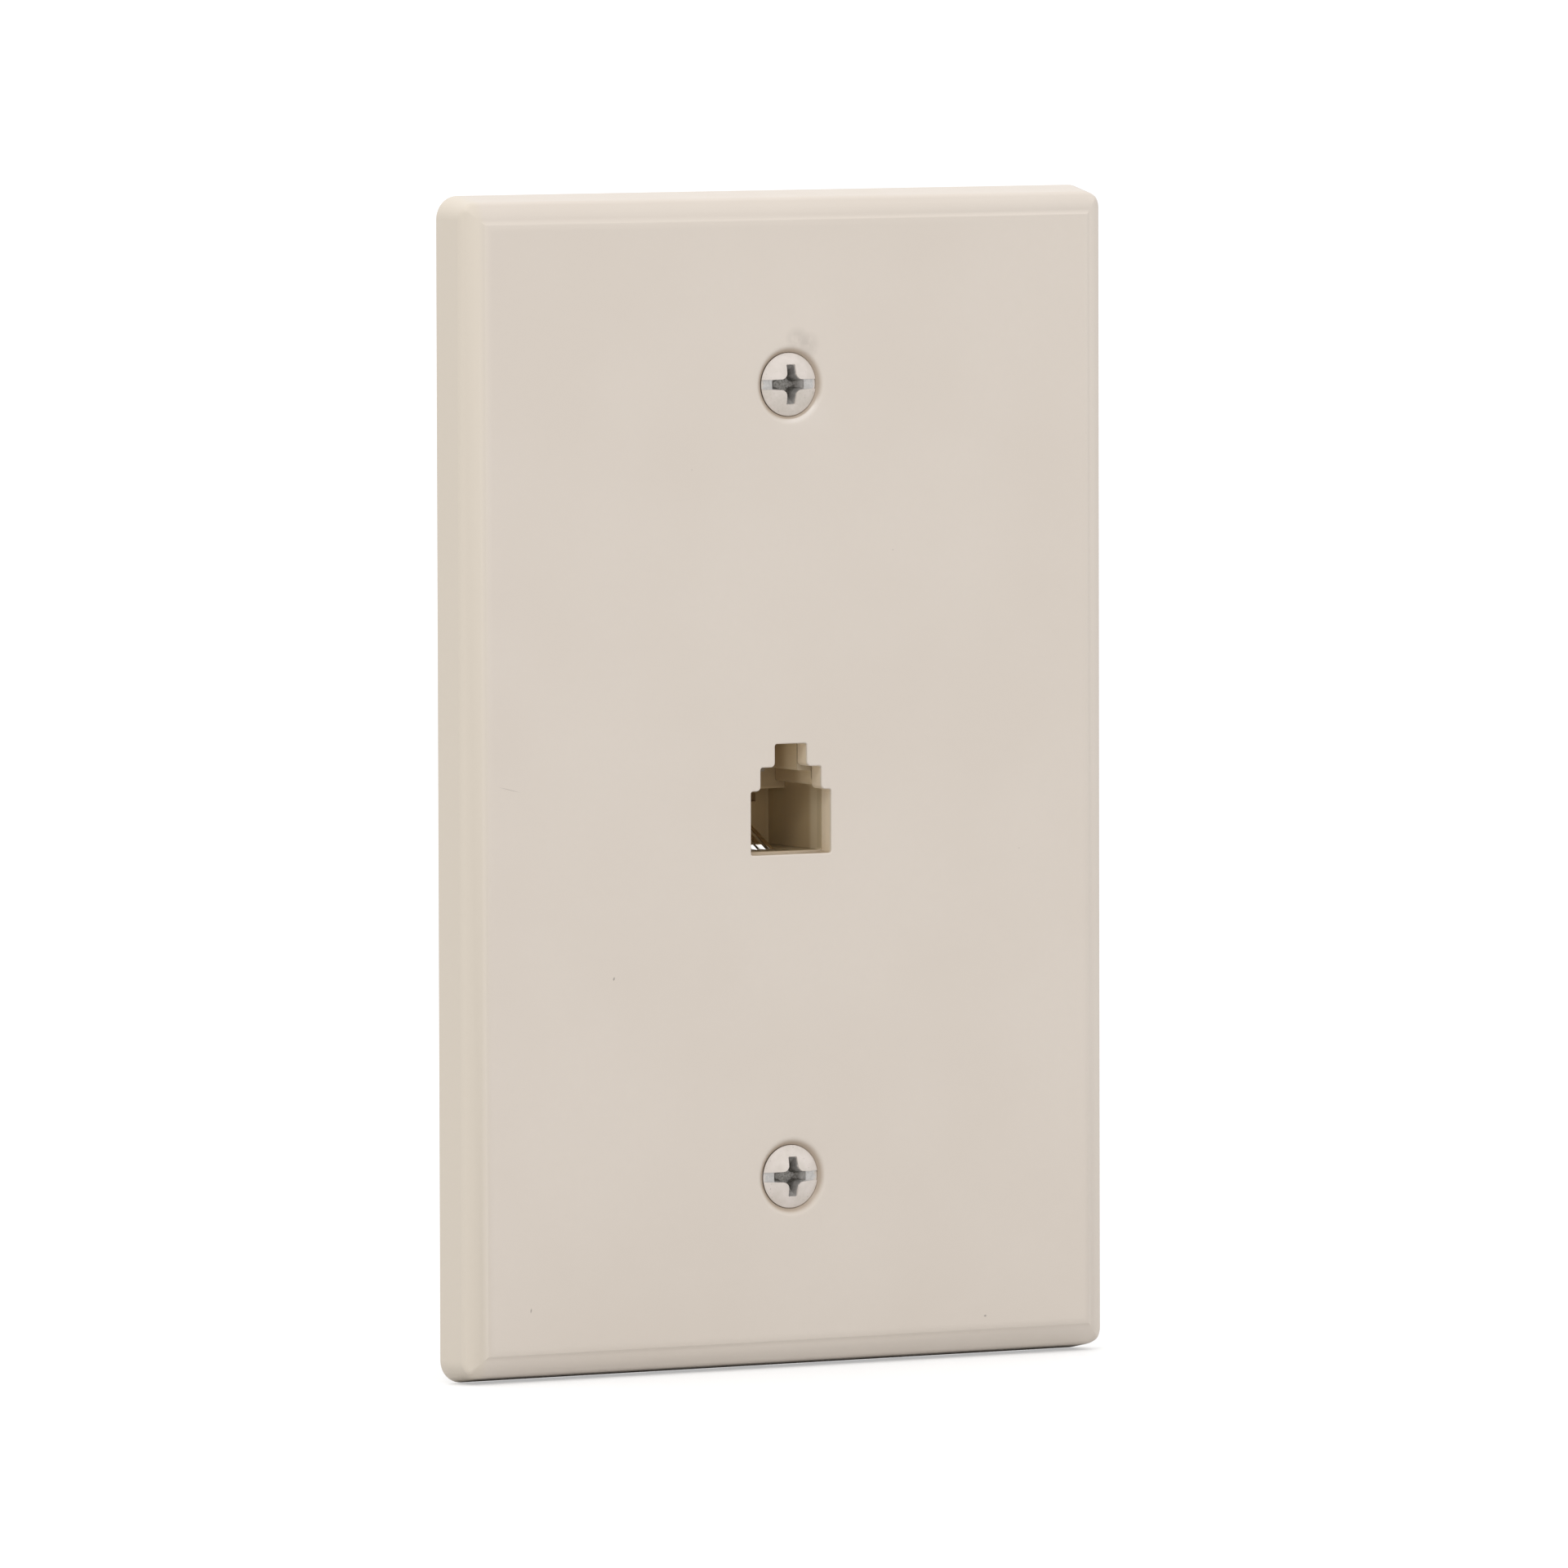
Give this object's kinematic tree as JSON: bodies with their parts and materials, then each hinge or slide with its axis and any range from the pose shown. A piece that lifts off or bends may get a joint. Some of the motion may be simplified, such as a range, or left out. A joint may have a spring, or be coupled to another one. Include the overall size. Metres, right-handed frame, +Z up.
{
  "type": "telephone jack wall plate",
  "caption": "Single-gang almond wall plate with a keyed modular telephone jack, painted mounting screws and a rear screw-terminal block.",
  "frame": {"origin": "middle of the whole part's box: on the plate's vertical and horizontal centre lines, 7.4 mm behind the wall plane, inside the wall box", "axes": "+Z up along the plate's height, +Y into the wall, +X to the right seen from the front"},
  "size_m": [0.0794, 0.0262, 0.124],
  "materials": {
    "almond_plastic": "light almond semi-gloss thermoplastic",
    "terminal_plastic": "off-white engineering plastic, satin",
    "spring_contact": "bright gold-plated spring wire",
    "tinned_lug": "tinned brass sheet",
    "terminal_brass": "machined brass",
    "painted_screw": "steel screw, head painted almond to match the plate",
    "fibre_washer": "vulcanised fibre",
    "insulation_black": "PVC insulation",
    "insulation_red": "PVC insulation",
    "insulation_green": "PVC insulation",
    "insulation_yellow": "PVC insulation"
  },
  "bodies": {
    "plate": {"faceplate": "almond_plastic", "jack_housing": "almond_plastic", "contact_carrier": "terminal_plastic", "terminal_block": "terminal_plastic", "contact_leg_1": "spring_contact", "contact_leg_2": "spring_contact", "contact_leg_3": "spring_contact", "contact_leg_4": "spring_contact", "lead_wire_black": "insulation_black", "lead_wire_red": "insulation_red", "lead_wire_green": "insulation_green", "lead_wire_yellow": "insulation_yellow", "spade_lug_black": "tinned_lug", "spade_lug_red": "tinned_lug", "spade_lug_green": "tinned_lug", "spade_lug_yellow": "tinned_lug"},
    "contact_arm_1": {"contact_arm_1": "spring_contact"},
    "contact_arm_2": {"contact_arm_2": "spring_contact"},
    "contact_arm_3": {"contact_arm_3": "spring_contact"},
    "contact_arm_4": {"contact_arm_4": "spring_contact"},
    "terminal_washer_1": {"terminal_washer_1": "terminal_brass"},
    "terminal_screw_1": {"terminal_screw_1": "terminal_brass"},
    "terminal_washer_2": {"terminal_washer_2": "terminal_brass"},
    "terminal_screw_2": {"terminal_screw_2": "terminal_brass"},
    "terminal_washer_3": {"terminal_washer_3": "terminal_brass"},
    "terminal_screw_3": {"terminal_screw_3": "terminal_brass"},
    "terminal_washer_4": {"terminal_washer_4": "terminal_brass"},
    "terminal_screw_4": {"terminal_screw_4": "terminal_brass"},
    "screw_retainer_upper": {"screw_retainer_upper": "fibre_washer"},
    "mounting_screw_upper": {"mounting_screw_upper": "painted_screw"},
    "screw_retainer_lower": {"screw_retainer_lower": "fibre_washer"},
    "mounting_screw_lower": {"mounting_screw_lower": "painted_screw"}
  },
  "joints": [
    {"name": "contact_flex_1", "type": "hinge", "parent": "plate", "child": "contact_arm_1", "pos_m": [-0.00153, -0.0087, -0.009], "axis": [-1, 0, 0], "range_deg": [0, 12]},
    {"name": "contact_flex_2", "type": "hinge", "parent": "plate", "child": "contact_arm_2", "pos_m": [-0.00051, -0.0087, -0.009], "axis": [-1, 0, 0], "range_deg": [0, 12]},
    {"name": "contact_flex_3", "type": "hinge", "parent": "plate", "child": "contact_arm_3", "pos_m": [0.00051, -0.0087, -0.009], "axis": [-1, 0, 0], "range_deg": [0, 12]},
    {"name": "contact_flex_4", "type": "hinge", "parent": "plate", "child": "contact_arm_4", "pos_m": [0.00153, -0.0087, -0.009], "axis": [-1, 0, 0], "range_deg": [0, 12]},
    {"name": "terminal_lift_1", "type": "slide", "parent": "plate", "child": "terminal_washer_1", "axis": [0, 1, 0], "range_m": [0, 0.00238]},
    {"name": "terminal_turn_1", "type": "hinge", "parent": "terminal_washer_1", "child": "terminal_screw_1", "pos_m": [-0.015, -0.00105, 0.01], "axis": [0, 1, 0], "range_deg": [0, 1080]},
    {"name": "terminal_lift_2", "type": "slide", "parent": "plate", "child": "terminal_washer_2", "axis": [0, 1, 0], "range_m": [0, 0.00238]},
    {"name": "terminal_turn_2", "type": "hinge", "parent": "terminal_washer_2", "child": "terminal_screw_2", "pos_m": [-0.015, -0.00105, -0.014], "axis": [0, 1, 0], "range_deg": [0, 1080]},
    {"name": "terminal_lift_3", "type": "slide", "parent": "plate", "child": "terminal_washer_3", "axis": [0, 1, 0], "range_m": [0, 0.00238]},
    {"name": "terminal_turn_3", "type": "hinge", "parent": "terminal_washer_3", "child": "terminal_screw_3", "pos_m": [0.015, -0.00105, -0.014], "axis": [0, 1, 0], "range_deg": [0, 1080]},
    {"name": "terminal_lift_4", "type": "slide", "parent": "plate", "child": "terminal_washer_4", "axis": [0, 1, 0], "range_m": [0, 0.00238]},
    {"name": "terminal_turn_4", "type": "hinge", "parent": "terminal_washer_4", "child": "terminal_screw_4", "pos_m": [0.015, -0.00105, 0.01], "axis": [0, 1, 0], "range_deg": [0, 1080]},
    {"name": "mounting_slide_upper", "type": "slide", "parent": "plate", "child": "screw_retainer_upper", "axis": [0, -1, 0], "range_m": [0, 0.0095]},
    {"name": "mounting_turn_upper", "type": "hinge", "parent": "screw_retainer_upper", "child": "mounting_screw_upper", "pos_m": [0, -0.0123, 0.04167], "axis": [0, 1, 0], "continuous": true},
    {"name": "mounting_slide_lower", "type": "slide", "parent": "plate", "child": "screw_retainer_lower", "axis": [0, -1, 0], "range_m": [0, 0.0095]},
    {"name": "mounting_turn_lower", "type": "hinge", "parent": "screw_retainer_lower", "child": "mounting_screw_lower", "pos_m": [0, -0.0123, -0.04167], "axis": [0, 1, 0], "continuous": true}
  ],
  "couplings": [
    {"joint": "terminal_turn_1", "follows": "terminal_lift_1", "rad_per_m": 7915.8},
    {"joint": "terminal_turn_2", "follows": "terminal_lift_2", "rad_per_m": 7915.8},
    {"joint": "terminal_turn_3", "follows": "terminal_lift_3", "rad_per_m": 7915.8},
    {"joint": "terminal_turn_4", "follows": "terminal_lift_4", "rad_per_m": 7915.8}
  ]
}
